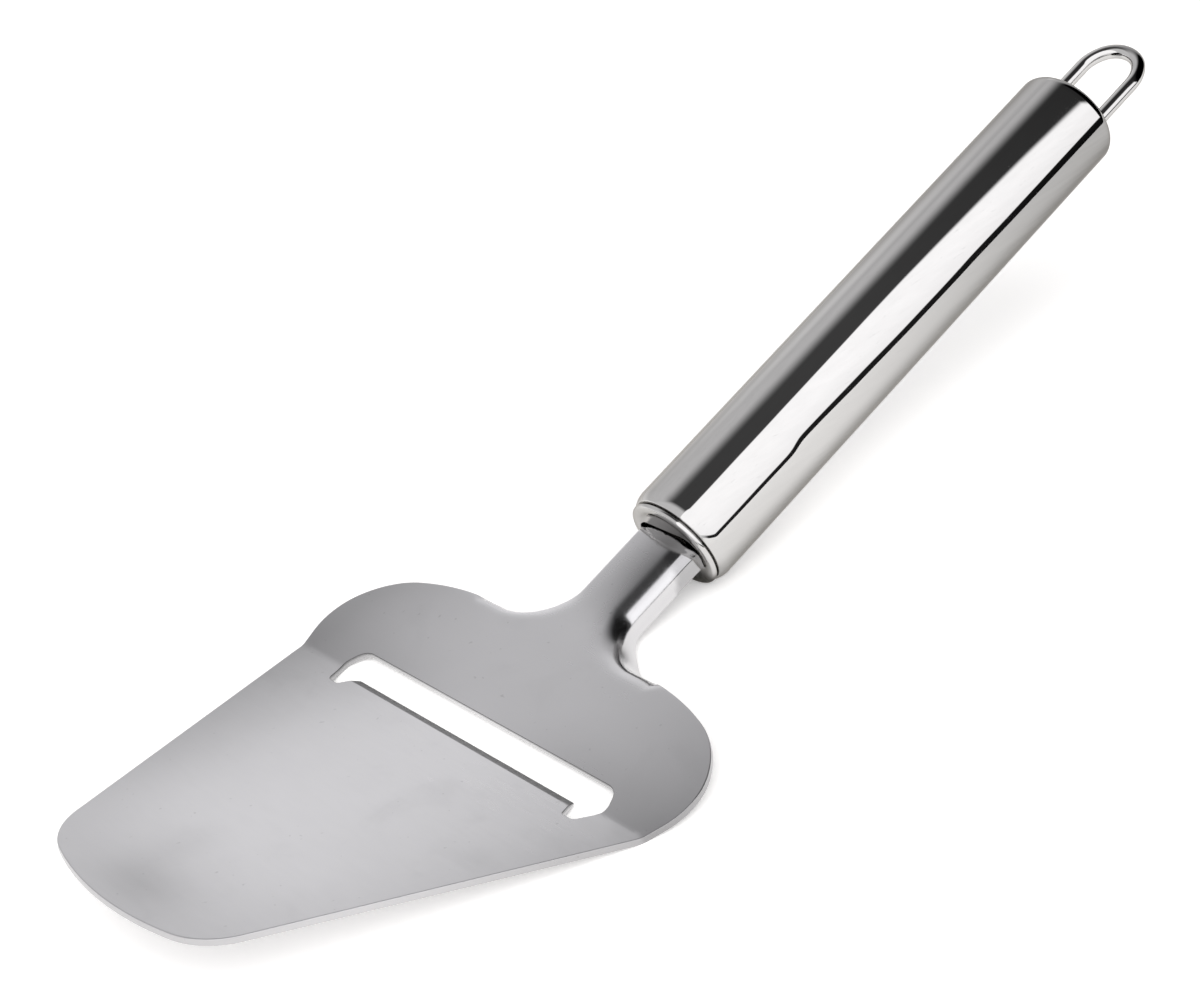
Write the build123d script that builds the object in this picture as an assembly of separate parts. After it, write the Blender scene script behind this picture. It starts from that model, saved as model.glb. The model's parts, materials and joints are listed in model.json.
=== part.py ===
from build123d import *
from math import asin, atan, atan2, cos, degrees, hypot, radians, sin, sqrt, tan
import os

# Cheese slicer: a pressed sheet blade welded into a closed tubular handle with a wire hanging loop.
# Every piece is first made in the blade's frame: X runs from the tip to the handle, Z points away from
# the front plate's top face, and the origin is in the middle of the crease between the two plates.
# At the end the slicer is tipped until it rests on its crease and on the handle's front end.

# Blade sheet and its two bends, seen from the side
sheet = 1.2
front_length = 66.2
rear_angle = 21.0
rear_run = 33.2
handle_angle = 27.4
neck_run = 18.5
tang_inside = 14.0
crease_radius = 5.0
neck_bend_radius = 40.0

# Front plate outline
tip_half_width = 22.1
tip_arc_radius = 61.0
tip_corner_radius = 12.0
crease_half_width = 45.35

# Rear lobes outline: the straight side runs on past the crease, then three arcs lead to the rear edge
lobe_start = 3.2
lobe_side_radius = 11.4
lobe_shoulder_radius = 17.4
lobe_back_radius = 48.0
lobe_side_end_angle = 33.0
lobe_shoulder_end_angle = 70.5

# Neck and tang, a channel that is open below
neck_half_width = 7.2
neck_fillet_radius = 9.4
flange_depth = 5.2
flange_start = 24.5
flange_full = 20.0
flare_share = 0.37
fillet_growth_share = 0.57
fold_radius = 1.8
fold_reach = 4.2

# Slicing slot
slot_shift = -1.1
slot_front = 0.3
slot_rear = 4.6
slot_half_length = 28.5
notch_length = 3.7
notch_inner = 1.6
notch_outer = 4.1
slot_outer = 6.3
slot_outer_x = 0.9
slot_rear_corner = 4.9
tongue_round = 0.2
notch_front_round = 0.5
notch_back_round = 1.2
slot_end_round = 2.4
bevel_width = 2.0
edge_thickness = 0.15

# Handle tube
handle_radius = 10.0
tube_wall = 0.6
tube_length = 114.6
shoulder_length = 2.3
shoulder_drop = 0.63
rear_round = 2.0
rear_lip = 0.3
tang_rise = 3.0

# Front cap, whose face stands before the tube's mouth where its depth is negative
cap_wall = 0.6
cap_skirt_length = 5.0
cap_lip = 1.25
cap_lip_width = 1.2
cap_face_depth = -0.85
cap_lip_outer_round = 0.55
cap_lip_inner_round = 0.3
tang_clearance = 0.35
fit_clearance = 0.03

# Rear plug
plug_thickness = 2.0

# Hanging loop
wire_radius = 1.32
loop_half_spacing = 5.5
loop_leg = 11.7
leg_stub = 1.5
loop_turn = 11.4
arch_side_radius = 8.0
arch_side_angle = 36.0
leg_hole_clearance = 0.03

# Weld beads
tang_bead = 1.3
tang_bead_length = 8.0
loop_bead = 0.9

# How far cutting shapes run past the faces that they cut
overrun = 2.0


# Directions and bend points of the blade, in its side view
def along(angle):
    """Unit direction of a line that rises at this angle, in side view."""
    return Vector(cos(radians(angle)), sin(radians(angle)))


def square_to(angle):
    """Unit direction that points up from a line that rises at this angle, in side view."""
    return Vector(-sin(radians(angle)), cos(radians(angle)))


plate_angles = [0, rear_angle, handle_angle]
crease_point = Vector(0, 0)
neck_point = along(rear_angle) * rear_run
tang_end = neck_point + along(handle_angle) * (neck_run + tang_inside)


def side_line(depth):
    """Side view of the face that lies this depth below the blade's top face."""
    points = [Vector(-front_length, -depth)]
    bends = [crease_point, neck_point]
    for bend, before, after in zip(bends, plate_angles, plate_angles[1:]):
        mitre = depth / cos(radians(after - before) / 2)
        points.append(bend - square_to((before + after) / 2) * mitre)
    points.append(tang_end - square_to(handle_angle) * depth)
    return FilletPolyline(*points, radius=[crease_radius + depth, neck_bend_radius + depth])


def slab(top, bottom):
    """The bent layer between two depths below the top face, wider than the blade."""
    upper = side_line(top)
    lower = side_line(bottom)
    ends = [Line(upper @ 0, lower @ 0), Line(upper @ 1, lower @ 1)]
    face = make_face(upper.edges() + lower.edges() + ends)
    return extrude(Plane.XZ * face, amount=2 * crease_half_width, both=True)


# Places and sizes that several features of the blade share
tip_corner_x = -front_length + tip_arc_radius - sqrt(tip_arc_radius**2 - tip_half_width**2)
side_angle = degrees(atan((crease_half_width - tip_half_width) / -tip_corner_x))
tall = 2 * (flange_depth + tang_end.Y)
fold_inside_radius = fold_radius - sheet


def lobe_line():
    """Plan view of one side, from the tip's corner round the lobe to the start of the neck's fillet."""
    lobe_point = Vector(lobe_start, crease_half_width + lobe_start * tan(radians(side_angle)))
    side = Line((tip_corner_x, tip_half_width), lobe_point)
    outer = JernArc(side @ 1, side % 1, lobe_side_radius, -(side_angle + lobe_side_end_angle))
    shoulder = JernArc(
        outer @ 1, outer % 1, lobe_shoulder_radius, lobe_side_end_angle - lobe_shoulder_end_angle
    )
    back = JernArc(shoulder @ 1, shoulder % 1, lobe_back_radius, lobe_shoulder_end_angle - 90)
    return Curve() + [side, outer, shoulder, back]


rear_edge_x = (lobe_line() @ 1).X
skirt_front_x = rear_edge_x - fold_reach


def blade_plan():
    """Outline of the two plates in plan view."""
    line = lobe_line()
    tip = ThreePointArc(
        (tip_corner_x, -tip_half_width), (-front_length, 0), (tip_corner_x, tip_half_width)
    )
    rim = line.edges() + mirror(line, Plane.XZ).edges()
    rear_edge = Line(line @ 1, ((line @ 1).X, -(line @ 1).Y))
    outline = make_face(rim + tip.edges() + rear_edge.edges())
    corners = outline.vertices().group_by(Axis.X)[0]
    return fillet(corners, tip_corner_radius)


def upright(face):
    """The plan view's shape as a solid that passes right through the blade."""
    return extrude(face, amount=tall, both=True)


def top_height(x):
    """Height of the blade's top face at a place along X, with its bends taken as sharp."""
    rear_height = x * tan(radians(rear_angle))
    neck_height = neck_point.Y + (x - neck_point.X) * tan(radians(handle_angle))
    return max(0, rear_height, neck_height)


# The rear plate's frame: X runs up the plate from the crease and Z points away from its top face
rear = Plane(
    origin=(0, 0, 0),
    x_dir=(along(rear_angle).X, 0, along(rear_angle).Y),
    z_dir=(square_to(rear_angle).X, 0, square_to(rear_angle).Y),
)


def skirt_plan(depth, inset):
    """The neck with its two fillets, at a depth below the rear plate and moved inwards by the inset."""
    edge_run = rear_edge_x / cos(radians(rear_angle)) + flare_share * depth
    radius = neck_fillet_radius + fillet_growth_share * depth
    front_run = skirt_front_x / cos(radians(rear_angle)) - (overrun if inset else 0)
    half_width = flange_start + (overrun if inset else 0)
    start = (edge_run - inset, neck_half_width + radius)
    fillet_arc = JernArc(start, (0, -1), radius + inset, 90)
    end_run = tang_end.X / cos(radians(rear_angle)) + overrun
    outline = Polyline(
        fillet_arc @ 1,
        (end_run, neck_half_width - inset),
        (end_run, inset - neck_half_width),
        (edge_run + radius, inset - neck_half_width),
    )
    lead = Polyline(start, (edge_run - inset, half_width), (front_run, half_width), (front_run, 0))
    edges = fillet_arc.edges() + lead.edges()
    edges += mirror(fillet_arc, Plane.XZ).edges() + mirror(lead, Plane.XZ).edges()
    return make_face(edges + outline.edges())


def skirt_block(inset):
    """The flared body of the neck, from well above the tang to below the flanges."""
    levels = [-flange_depth, flange_depth + overrun]
    faces = [rear * Pos(0, 0, -depth) * skirt_plan(depth, inset) for depth in levels]
    return loft(faces, ruled=True)


def rim_edges(block, depth):
    """Edges of a block's upper face, at this depth, that run along the neck's two sides."""
    chosen = []
    for edge in block.edges():
        middle = edge @ 0.5
        level = middle.Z - top_height(middle.X) + depth
        on_top = abs(level) < sheet / 2
        beside = abs(middle.Y) > neck_half_width / 2
        behind = middle.X > rear_edge_x - fold_radius
        if on_top and beside and behind:
            chosen.append(edge)
    return chosen


def skirt():
    """The neck and tang: a folded channel whose flanges grow out of the rear edge."""
    block = slab(0, flange_depth) & skirt_block(0)
    folded = fillet(rim_edges(block, 0), fold_radius)
    inner = slab(sheet, flange_depth + overrun) & skirt_block(sheet)
    pocket = fillet(rim_edges(inner, sheet), fold_inside_radius)
    below = make_face(Polyline(
        (flange_full, -flange_depth),
        (flange_start, -sheet),
        (flange_start + overrun, -sheet),
        (flange_start + overrun, -flange_depth - overrun),
        (flange_full, -flange_depth - overrun),
        close=True,
    ))
    trim = extrude(Plane.YZ * (below + mirror(below, Plane.YZ)), amount=2 * tang_end.X)
    return folded - pocket - rear.location * trim


def slot():
    """The slicing slot, with a relief notch at each end of its cutting tongue."""
    line = FilletPolyline(
        (-slot_front, 0),
        (-slot_front, slot_half_length),
        (-slot_front - notch_length, slot_half_length + notch_inner),
        (-slot_front - notch_length, slot_half_length + notch_outer),
        (slot_outer_x, slot_half_length + slot_outer),
        (slot_rear, slot_half_length + slot_rear_corner),
        (slot_rear, 0),
        radius=[tongue_round, notch_front_round, notch_back_round, slot_end_round, slot_end_round],
    )
    half = make_face(line.edges() + Line(line @ 1, line @ 0).edges())
    return Pos(0, slot_shift, 0) * upright(half + mirror(half, Plane.XZ))


def bevel():
    """What is ground away from the tongue's top face to make the cutting edge."""
    start = -slot_front - bevel_width
    face = make_face(Polyline(
        (start, 0),
        (-slot_front, edge_thickness - sheet),
        (-slot_front, overrun),
        (start, overrun),
        close=True,
    ))
    ground = extrude(Plane.XZ * face, amount=slot_half_length + notch_inner, both=True)
    return Pos(0, slot_shift, 0) * ground


def blade():
    """One sheet: front plate, rear lobes, neck and tang."""
    plates = slab(0, sheet) & upright(blade_plan())
    neck_space = Rectangle(tang_end.X, 2 * flange_start, align=(Align.MIN, Align.CENTER))
    plates -= upright(Pos(skirt_front_x + sheet, 0) * neck_space)
    return plates + skirt() - slot() - bevel()


# The handle's frame: origin in the tube's front end, Z along the handle, X across it, Y away from the blade
handle_start = (
    neck_point + along(handle_angle) * neck_run - square_to(handle_angle) * tang_rise
)
handle = Plane(
    origin=(handle_start.X, 0, handle_start.Y),
    x_dir=(0, 1, 0),
    z_dir=(along(handle_angle).X, 0, along(handle_angle).Y),
)
mouth_radius = handle_radius - shoulder_drop
mouth_bore = mouth_radius - tube_wall
shoulder_radius = (shoulder_drop**2 + shoulder_length**2) / (2 * shoulder_drop)
rear_opening = handle_radius - rear_round - rear_lip
rear_seat = tube_length - tube_wall
plug_inside = rear_seat - plug_thickness
cap_inside = cap_face_depth + cap_wall


def turned(face):
    """A solid of revolution about the handle's axis, from a profile of radius and length."""
    return revolve(Plane.XZ * face, Axis.Z)


def tube_side(inset):
    """One side of the tube's profile, from the drawn-in mouth to the lip at the rear."""
    radius = handle_radius - inset
    end_round = rear_round - inset
    shoulder = TangentArc(
        (radius, shoulder_length), (radius - shoulder_drop, 0), tangent=(0, -1)
    )
    wall = Line((radius, shoulder_length), (radius, tube_length - rear_round))
    rear = JernArc(wall @ 1, (0, 1), end_round, 90)
    lip = Line(rear @ 1, (rear_opening, (rear @ 1).Y))
    return [shoulder, wall, rear, lip]


def handle_tube():
    """Thin tube, drawn in at the front end and rolled in at the rear end."""
    outer = tube_side(0)
    inner = tube_side(tube_wall)
    mouth = Line(outer[0] @ 1, inner[0] @ 1)
    lip = Line(outer[-1] @ 1, inner[-1] @ 1)
    edges = [part.edge() for part in outer + inner + [mouth, lip]]
    return turned(make_face(edges))


def front_cap():
    """Dished cap: a rounded lip before the tube's mouth, a skirt inside it and a slot for the tang."""
    skirt_outer = mouth_bore - fit_clearance
    skirt_inner = skirt_outer - cap_wall
    lip_outer = mouth_radius - fit_clearance
    lip_inner = lip_outer - cap_lip_width
    profile = make_face(Polyline(
        (0, cap_face_depth),
        (lip_inner, cap_face_depth),
        (lip_inner, -cap_lip),
        (lip_outer, -cap_lip),
        (lip_outer, 0),
        (skirt_outer, 0),
        (skirt_outer, cap_skirt_length),
        (skirt_inner, cap_skirt_length),
        (skirt_inner, cap_inside),
        (0, cap_inside),
        close=True,
    ))
    crown = profile.vertices().group_by(Axis.Y)[0].sort_by(Axis.X)
    profile = fillet(crown[0], cap_lip_inner_round)
    crown = profile.vertices().group_by(Axis.Y)[0].sort_by(Axis.X)
    profile = fillet(crown[-1], cap_lip_outer_round)

    slot_height = flange_depth + 2 * tang_clearance
    slot_middle = tang_rise - flange_depth / 2
    tang_slot = Rectangle(2 * (neck_half_width + tang_clearance), slot_height)
    folds = tang_slot.vertices().group_by(Axis.Y)[-1]
    tang_slot = fillet(folds, fold_radius + tang_clearance)
    cut = extrude(Pos(0, slot_middle) * tang_slot, amount=cap_inside + overrun, both=True)
    return turned(profile) - cut


def tang_welds():
    """Beads behind the cap: one on the tang's top face and one below each flange."""
    top = make_face(Polyline(
        (tang_rise, cap_inside),
        (tang_rise + tang_bead, cap_inside),
        (tang_rise, cap_inside + tang_bead),
        close=True,
    ))
    low = tang_rise - flange_depth
    bottom = make_face(Polyline(
        (low, cap_inside),
        (low - tang_bead, cap_inside),
        (low, cap_inside + tang_bead),
        close=True,
    ))
    beads = [extrude(Plane.YZ * top, amount=tang_bead_length / 2, both=True)]
    for side in (-1, 1):
        place = side * (neck_half_width - sheet / 2)
        beads.append(Pos(place, 0, 0) * extrude(Plane.YZ * bottom, amount=sheet / 2, both=True))
    return beads


def at_legs(solid):
    """Two copies of a solid, one at each leg of the hanging loop."""
    return [Rot(0, 0, loop_turn) * Pos(side * loop_half_spacing, 0, 0) * solid for side in (-1, 1)]


def rear_plug():
    """Stepped disc that sits behind the tube's rear lip and fills its opening."""
    flange_radius = handle_radius - tube_wall - fit_clearance
    step_radius = rear_opening - fit_clearance
    profile = make_face(Polyline(
        (0, plug_inside),
        (flange_radius, plug_inside),
        (flange_radius, rear_seat),
        (step_radius, rear_seat),
        (step_radius, tube_length),
        (0, tube_length),
        close=True,
    ))
    rim = profile.vertices().group_by(Axis.X)[-1].sort_by(Axis.Y)[-1]
    disc = turned(fillet(rim, rear_round - tube_wall))
    hole = Pos(0, 0, tube_length) * Cylinder(wire_radius + leg_hole_clearance, 4 * plug_thickness)
    for leg_hole in at_legs(hole):
        disc -= leg_hole
    return disc


def hanging_loop():
    """Bent wire: two straight legs and an arch of three arcs, turned a little about the handle's axis."""
    top_radius = arch_side_radius - (arch_side_radius - loop_half_spacing) / cos(radians(arch_side_angle))
    start = (loop_half_spacing, plug_inside - leg_stub)
    leg = Line(start, (loop_half_spacing, tube_length + loop_leg))
    side = JernArc(leg @ 1, leg % 1, arch_side_radius, arch_side_angle)
    top = JernArc(side @ 1, side % 1, top_radius, 180 - 2 * arch_side_angle)
    other_side = JernArc(top @ 1, top % 1, arch_side_radius, arch_side_angle)
    other_leg = Line(other_side @ 1, (-loop_half_spacing, plug_inside - leg_stub))
    path = Plane.XZ * (Curve() + [leg, side, top, other_side, other_leg])
    section = Plane(origin=path @ 0, z_dir=path % 0) * Circle(wire_radius)
    return Rot(0, 0, loop_turn) * sweep(section, path=path)


def loop_welds():
    """A bead round each leg, on the inside of the rear plug."""
    profile = make_face(Polyline(
        (wire_radius, plug_inside),
        (wire_radius + loop_bead, plug_inside),
        (wire_radius, plug_inside - loop_bead),
        close=True,
    ))
    return at_legs(turned(profile))


def resting_place(pieces):
    """Where the slicer rests: tipped on to its crease and the handle's shoulder, over the origin."""
    crease_centre = Vector(-crease_radius * tan(radians(rear_angle) / 2), crease_radius)
    crease_outer = crease_radius + sheet
    shoulder_centre = (
        handle_start
        + along(handle_angle) * shoulder_length
        - square_to(handle_angle) * (handle_radius - shoulder_radius)
    )
    gap = shoulder_centre - crease_centre
    rise = atan2(gap.Y, gap.X)
    tip = rise - asin((shoulder_radius - crease_outer) / hypot(gap.X, gap.Y))
    floor = crease_centre.Y * cos(tip) - crease_centre.X * sin(tip) - crease_outer
    tipped = Rot(0, degrees(tip), 0)
    box = (tipped * Compound(pieces)).bounding_box()
    return Pos(-box.center().X, 0, -floor) * tipped


def main():
    in_blade = {"blade": [blade()]}
    on_handle = {
        "handle_tube": [handle_tube()],
        "front_cap": [front_cap()],
        "tang_welds": tang_welds(),
        "rear_plug": [rear_plug()],
        "hanging_loop": [hanging_loop()],
        "loop_welds": loop_welds(),
    }
    nodes = dict(in_blade)
    for name, solids in on_handle.items():
        nodes[name] = [handle.location * solid for solid in solids]
    every_solid = [solid for solids in nodes.values() for solid in solids]
    rest = resting_place(every_solid)
    os.makedirs("parts", exist_ok=True)
    for name, solids in nodes.items():
        placed = [rest * solid for solid in solids]
        shape = placed[0] if len(placed) == 1 else Compound(placed)
        shape.label = name
        export_step(shape, f"parts/{name}.step")


main()
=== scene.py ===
import json
from math import asin, atan, atan2, cos, exp, hypot, pi, radians, sin, sqrt, tan

import bpy
from mathutils import Matrix, Vector
from mathutils.geometry import delaunay_2d_cdt


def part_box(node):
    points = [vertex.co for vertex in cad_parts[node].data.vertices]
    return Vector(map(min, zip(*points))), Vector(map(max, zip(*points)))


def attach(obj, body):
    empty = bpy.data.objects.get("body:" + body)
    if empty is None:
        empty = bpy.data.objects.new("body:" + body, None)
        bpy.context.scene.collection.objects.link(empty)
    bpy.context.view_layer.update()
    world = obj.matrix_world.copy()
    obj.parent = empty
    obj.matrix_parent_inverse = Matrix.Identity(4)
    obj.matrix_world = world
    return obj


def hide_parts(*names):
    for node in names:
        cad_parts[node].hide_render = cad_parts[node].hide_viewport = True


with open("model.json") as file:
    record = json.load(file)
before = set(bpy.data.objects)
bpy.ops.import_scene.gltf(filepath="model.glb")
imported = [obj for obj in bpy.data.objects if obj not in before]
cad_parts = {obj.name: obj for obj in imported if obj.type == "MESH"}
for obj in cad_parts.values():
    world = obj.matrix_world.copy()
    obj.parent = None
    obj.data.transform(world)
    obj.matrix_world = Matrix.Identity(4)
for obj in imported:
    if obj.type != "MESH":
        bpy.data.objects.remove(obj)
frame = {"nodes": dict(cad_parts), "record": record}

bl_info = {
    "name": "Cheese slicer",
    "version": (1, 0, 0),
    "blender": (4, 5, 0),
    "location": "View3D > Sidebar > Slicer",
    "description": "Builds a cheese slicer of pressed sheet, drawn tube and bent wire, and its stage",
    "category": "Object",
}

MM = 0.001
UP = Vector((0, 0, 1))
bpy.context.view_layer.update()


# Properties: the sizes and colours that a user would change
def length(description, millimetres):
    """A length property, given in millimetres and kept in metres."""
    return bpy.props.FloatProperty(
        description=description, default=millimetres * MM, min=0, precision=5, unit="LENGTH"
    )


def angle(description, degrees):
    """An angle property, given in degrees and kept in radians."""
    return bpy.props.FloatProperty(description=description, default=radians(degrees), unit="ROTATION")


def share(description, default):
    """A plain number, where 1 is the whole."""
    return bpy.props.FloatProperty(description=description, default=default, subtype="FACTOR")


def colour(description, default):
    """A colour property with three channels."""
    return bpy.props.FloatVectorProperty(
        description=description, default=default, size=3, min=0, max=1, subtype="COLOR"
    )


def vector(description, default, kind):
    """A place or a direction with three coordinates."""
    return bpy.props.FloatVectorProperty(description=description, default=default, size=3, subtype=kind)


class BladeSizes(bpy.types.PropertyGroup):
    """Sizes of the pressed sheet, in its own frame: X to the handle, origin in the crease"""

    sheet: length("Thickness of the blade's sheet", 1.2)
    front_length: length("From the crease to the tip", 66.2)
    rear_angle: angle("Rise of the rear plate over the front plate", 21)
    rear_run: length("From the crease to the neck's bend, along the rear plate", 33.2)
    handle_angle: angle("Rise of the neck and handle over the front plate", 27.4)
    neck_run: length("From the neck's bend to the handle's mouth", 18.5)
    tang_inside: length("Length of the tang inside the handle", 14)
    crease_radius: length("Bend radius of the crease on the top face", 5)
    neck_bend_radius: length("Bend radius between the rear plate and the neck", 40)
    tip_half_width: length("Half the width at the tip's corners", 22.1)
    tip_arc_radius: length("Radius of the tip's front edge", 61)
    tip_corner_radius: length("Radius of the tip's corners", 12)
    crease_half_width: length("Half the width at the crease", 45.35)
    lobe_start: length("How far the straight sides run on past the crease", 3.2)
    lobe_side_radius: length("Radius of the lobe's outer side", 11.4)
    lobe_shoulder_radius: length("Radius of the lobe's shoulder", 17.4)
    lobe_back_radius: length("Radius of the lobe's rear edge", 48)
    lobe_side_end: angle("Slope of the outline where the outer side ends", 33)
    lobe_shoulder_end: angle("Slope of the outline where the shoulder ends", 70.5)
    edge_round: length("Rounding of the sheet's cut edges", 0.14)


class NeckSizes(bpy.types.PropertyGroup):
    """Sizes of the folded neck and tang"""

    half_width: length("From the middle to the far flange", 7.2)
    near_half_width: length("From the middle to the near flange", 6.3)
    fillet_radius: length("Radius between the rear edge and the neck, on the top face", 9.4)
    flange_depth: length("Depth of the far flange below the top face", 5.2)
    near_flange_depth: length("Depth of the near flange below the top face", 5.75)
    flange_start: length("Distance from the middle where the flange starts", 25)
    flange_full: length("Distance from the middle where the flange has its full depth", 18.5)
    curl_start: length("Distance from the middle where the rear edge starts to curl", 31)
    curl_full: length("Distance from the middle where the curl is complete", 22)
    flare_share: share("How far the flange leans out for its depth at the rear edge", 0.37)
    growth_share: share("How much the fillet's radius grows with depth", 0.57)
    fold_radius: length("Radius of the far fold", 1.9)
    near_fold_radius: length("Radius of the near fold", 3.0)
    crown_run: length("Width of the gentle roll before the far fold", 3.0)
    crown_turn: angle("How far the gentle roll turns before the far fold", 15)
    near_crown_run: length("Width of the gentle roll before the near fold", 5.6)
    near_crown_turn: angle("How far the gentle roll turns before the near fold", 36)
    dip_start: length("Where the tang starts to dip, before the handle's mouth", 2.95)
    dip_end: length("Where the dip ends, before the handle's mouth", 1.0)
    dip_skew: length("How much later the dip starts on the far side", 1.5)
    dip_depth: length("How far the tang has dipped at the handle's mouth", 0.4)


class SlotSizes(bpy.types.PropertyGroup):
    """Sizes of the slicing slot and its ground edge"""

    shift: length("How far the slot sits to the near side of the middle", 1.1)
    front: length("How far the cutting edge is before the crease", 0.3)
    rear: length("How far the slot's rear edge is behind the crease", 4.6)
    half_length: length("Half the length of the cutting edge", 28.5)
    notch_length: length("How far the end notches reach forwards", 3.7)
    notch_inner: length("Where a notch starts past the cutting edge's end", 1.6)
    notch_outer: length("Where a notch ends past the cutting edge's end", 4.1)
    outer: length("The slot's furthest reach past the cutting edge's end", 6.3)
    outer_x: length("Where the furthest reach lies behind the crease", 0.9)
    rear_corner: length("Where the rear edge's corner lies past the cutting edge's end", 4.6)
    tongue_round: length("Radius of the cutting edge's corners", 0.2)
    notch_front_round: length("Radius of a notch's inner corner", 0.5)
    notch_back_round: length("Radius of a notch's outer corner", 1.2)
    end_round: length("Radius of the slot's corner at its furthest reach", 2.4)
    rear_round: length("Radius of the rear edge's corners", 3.0)
    bevel_width: length("Width of the ground band on the top face", 1.5)
    bevel_drop: length("How much the top face is ground down at the cutting edge", 0.55)
    back_width: length("Width of the ground band on the underside", 0.9)
    edge_thickness: length("Thickness left at the cutting edge", 0.15)


class HandleSizes(bpy.types.PropertyGroup):
    """Sizes of the tube, its cap and its plug, along the handle from the tube's mouth"""

    radius: length("Outer radius of the tube", 10)
    wall: length("Wall of the tube and of the cap", 0.6)
    tube_length: length("Length of the tube", 114.6)
    shoulder_length: length("Length over which the mouth is drawn in", 2.3)
    shoulder_drop: length("How far the mouth is drawn in", 0.63)
    rear_round: length("Radius at the tube's rear end", 2)
    rear_lip: length("Flat lip round the rear opening", 0.3)
    tang_rise: length("Height of the tang's top face over the handle's axis", 3)
    cap_lip: length("How far the cap stands out of the mouth", 1.25)
    cap_slope_width: length("Width of the slope from the cap's face to its lip", 1.6)
    cap_face: length("How far the cap's face stands before the tube's mouth", 0.85)
    cap_pinch: length("How far the cap draws in at the seam with the tube", 0.45)
    cap_skirt: length("How far the cap's skirt reaches into the tube", 5)
    tang_clearance: length("Gap round the tang in the cap's slot", 0.35)
    fit_clearance: length("Gap between pieces that fit together", 0.03)
    plug_thickness: length("Thickness of the plug behind the tube's lip", 2)


class LoopSizes(bpy.types.PropertyGroup):
    """Sizes of the bent wire loop"""

    wire_radius: length("Radius of the wire", 1.32)
    half_spacing: length("Half the distance between the legs", 5.5)
    leg: length("Straight length of a leg outside the handle", 11.7)
    stub: length("Length of a leg inside the plug's inner face", 1.5)
    turn: angle("How far the loop is turned about the handle's axis", 11.4)
    side_radius: length("Radius of the two bends next to the legs", 8)
    side_turn: angle("How far each of these two bends turns", 36)


class Finishes(bpy.types.PropertyGroup):
    """Colours and gloss of the metal"""

    satin: colour("Colour of the blade's satin steel", (0.66, 0.655, 0.665))
    satin_roughness: share("Roughness of the blade's faces", 0.3)
    polished: colour("Colour of the polished handle", (0.635, 0.628, 0.62))
    polished_roughness: share("Roughness of the handle", 0.035)
    polished_rim: colour("How much of its light the handle keeps at its rims", (0.5, 0.49, 0.47))
    weld: colour("Colour of the weld beads", (0.42, 0.4, 0.38))
    weld_stain: colour("Colour of the stains on the weld beads", (0.3, 0.26, 0.22))
    weld_roughness: share("Roughness of the weld beads", 0.45)


class Studio(bpy.types.PropertyGroup):
    """Camera and light"""

    lens: length("Focal length on a sensor 36 mm wide", 71.67)
    camera: vector("Place of the camera", (-0.2112, -0.2807, 0.2247), "TRANSLATION")
    sight: vector("Direction that the camera looks in", (0.48667, 0.71291, -0.50489), "DIRECTION")
    roll: angle("How far the camera is turned about its line of sight", -13.56)
    floor: colour("Colour of the floor", (0.9, 0.89, 0.875))
    floor_glow: share("Light that the floor adds where it's seen", 0.3)
    wall: share("Brightness of the far wall", 0.72)
    panel: share("Brightness of the near panel", 1.52)
    gap: share("Brightness of the dark gaps between them", 0.07)
    reflected: colour("Colour of the light in reflections", (0.99, 0.985, 1))
    lamp_place: vector("Place of the lamp, which faces the crease", (-0.25, -0.4, 0.75), "TRANSLATION")
    lamp_size: length("Side of the square lamp", 800)
    lamp_power: bpy.props.FloatProperty(description="Power of the lamp", default=4.2, unit="POWER")


GROUPS = {
    "slicer_blade": BladeSizes,
    "slicer_neck": NeckSizes,
    "slicer_slot": SlotSizes,
    "slicer_handle": HandleSizes,
    "slicer_loop": LoopSizes,
    "slicer_finishes": Finishes,
    "slicer_studio": Studio,
}


# Shader nodes
MIX_FACTOR, MIX_FIRST, MIX_SECOND = 0, 6, 7
MIX_COLOUR = 2
BLACK = (0, 0, 0)
WHITE = (1, 1, 1)


def opaque(rgb):
    """A colour with full alpha."""
    return (*rgb, 1)


class Value:
    """A number's socket in a node tree, on which Python's operators add Math nodes."""

    def __init__(self, nodes, socket):
        self.nodes = nodes
        self.socket = socket

    def maths(self, operation, *numbers):
        """The result of one Math node."""
        node = self.nodes.add("ShaderNodeMath", {"operation": operation}, dict(enumerate(numbers)))
        return Value(self.nodes, node.outputs[0])

    def __add__(self, other):
        return self.maths("ADD", self, other)

    def __radd__(self, other):
        return self.maths("ADD", other, self)

    def __sub__(self, other):
        return self.maths("SUBTRACT", self, other)

    def __rsub__(self, other):
        return self.maths("SUBTRACT", other, self)

    def __mul__(self, other):
        return self.maths("MULTIPLY", self, other)

    def __rmul__(self, other):
        return self.maths("MULTIPLY", other, self)

    def __truediv__(self, other):
        return self.maths("DIVIDE", self, other)

    def at_least(self, other):
        return self.maths("MAXIMUM", self, other)

    def angle_from(self, other):
        """The angle whose tangent is this number over the other one."""
        return self.maths("ARCTAN2", self, other)

    def rise(self, low, high):
        """Nothing below the low value and all above the high one, with a smooth ramp between."""
        settings = {"interpolation_type": "SMOOTHSTEP"}
        inputs = {"Value": self, "From Min": low, "From Max": high}
        node = self.nodes.add("ShaderNodeMapRange", settings, inputs)
        return Value(self.nodes, node.outputs["Result"])


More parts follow.
